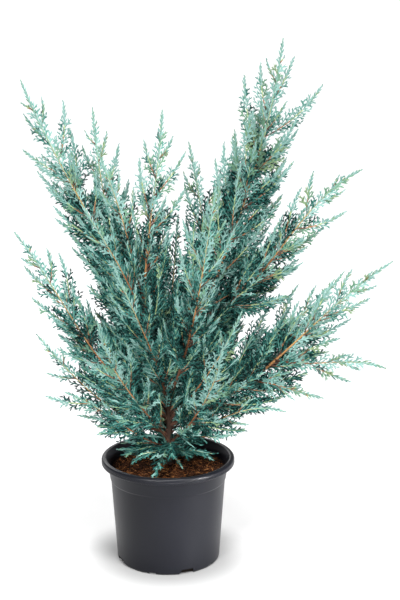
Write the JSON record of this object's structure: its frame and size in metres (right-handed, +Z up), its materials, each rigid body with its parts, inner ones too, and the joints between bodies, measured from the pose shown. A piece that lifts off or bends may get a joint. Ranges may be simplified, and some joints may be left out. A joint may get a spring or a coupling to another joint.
{
  "type": "potted savin juniper",
  "caption": "Young spreading juniper shrub with blue-green scale foliage on upswept boughs from a short trunk, standing in a round dark plastic nursery pot of potting mix.",
  "frame": {"origin": "centre of the pot's flat underside, on the floor it stands on", "axes": "+Z up along the pot's axis, -Y towards the viewer of the picture, +X to the viewer's right"},
  "size_m": [0.6169, 0.4092, 0.8787],
  "materials": {
    "slate_plastic": "satin moulded plastic, dark slate grey",
    "bark_fibre": "moist shredded bark and coir, dark red-brown",
    "trunk_bark": "rough dark brown bark",
    "bough_bark": "thin red-brown bark",
    "blue_green_scale_leaves": "matt, waxy scale leaves, blue-green"
  },
  "bodies": {
    "root": {"bough_back_left": "bough_bark", "bough_back_low": "bough_bark", "bough_back_low_left": "bough_bark", "bough_back_low_right": "bough_bark", "bough_back_middle": "bough_bark", "bough_back_right": "bough_bark", "bough_centre": "bough_bark", "bough_centre_back": "bough_bark", "bough_centre_left": "bough_bark", "bough_front_centre": "bough_bark", "bough_front_left": "bough_bark", "bough_front_left_high": "bough_bark", "bough_front_low_left": "bough_bark", "bough_front_low_right": "bough_bark", "bough_front_right": "bough_bark", "bough_left_inner": "bough_bark", "bough_left_low": "bough_bark", "bough_left_mid": "bough_bark", "bough_left_tall": "bough_bark", "bough_right_bottom": "bough_bark", "bough_right_inner": "bough_bark", "bough_right_low": "bough_bark", "bough_right_mid": "bough_bark", "bough_right_tall": "bough_bark", "bough_right_upper": "bough_bark", "foliage_back_left": "blue_green_scale_leaves", "foliage_back_low": "blue_green_scale_leaves", "foliage_back_low_left": "blue_green_scale_leaves", "foliage_back_low_right": "blue_green_scale_leaves", "foliage_back_middle": "blue_green_scale_leaves", "foliage_back_right": "blue_green_scale_leaves", "foliage_centre": "blue_green_scale_leaves", "foliage_centre_back": "blue_green_scale_leaves", "foliage_centre_left": "blue_green_scale_leaves", "foliage_front_centre": "blue_green_scale_leaves", "foliage_front_left": "blue_green_scale_leaves", "foliage_front_left_high": "blue_green_scale_leaves", "foliage_front_low_left": "blue_green_scale_leaves", "foliage_front_low_right": "blue_green_scale_leaves", "foliage_front_right": "blue_green_scale_leaves", "foliage_left_bottom": "blue_green_scale_leaves", "foliage_left_inner": "blue_green_scale_leaves", "foliage_left_low": "blue_green_scale_leaves", "foliage_left_mid": "blue_green_scale_leaves", "foliage_left_tall": "blue_green_scale_leaves", "foliage_right_bottom": "blue_green_scale_leaves", "foliage_right_floor": "blue_green_scale_leaves", "foliage_right_inner": "blue_green_scale_leaves", "foliage_right_low": "blue_green_scale_leaves", "foliage_right_mid": "blue_green_scale_leaves", "foliage_right_tall": "blue_green_scale_leaves", "foliage_right_upper": "blue_green_scale_leaves", "foliage_skirt_back": "blue_green_scale_leaves", "foliage_skirt_front": "blue_green_scale_leaves", "foliage_skirt_left": "blue_green_scale_leaves", "foliage_skirt_right": "blue_green_scale_leaves", "pot": "slate_plastic", "potting_mix": "bark_fibre", "trunk": "trunk_bark"}
  },
  "joints": []
}
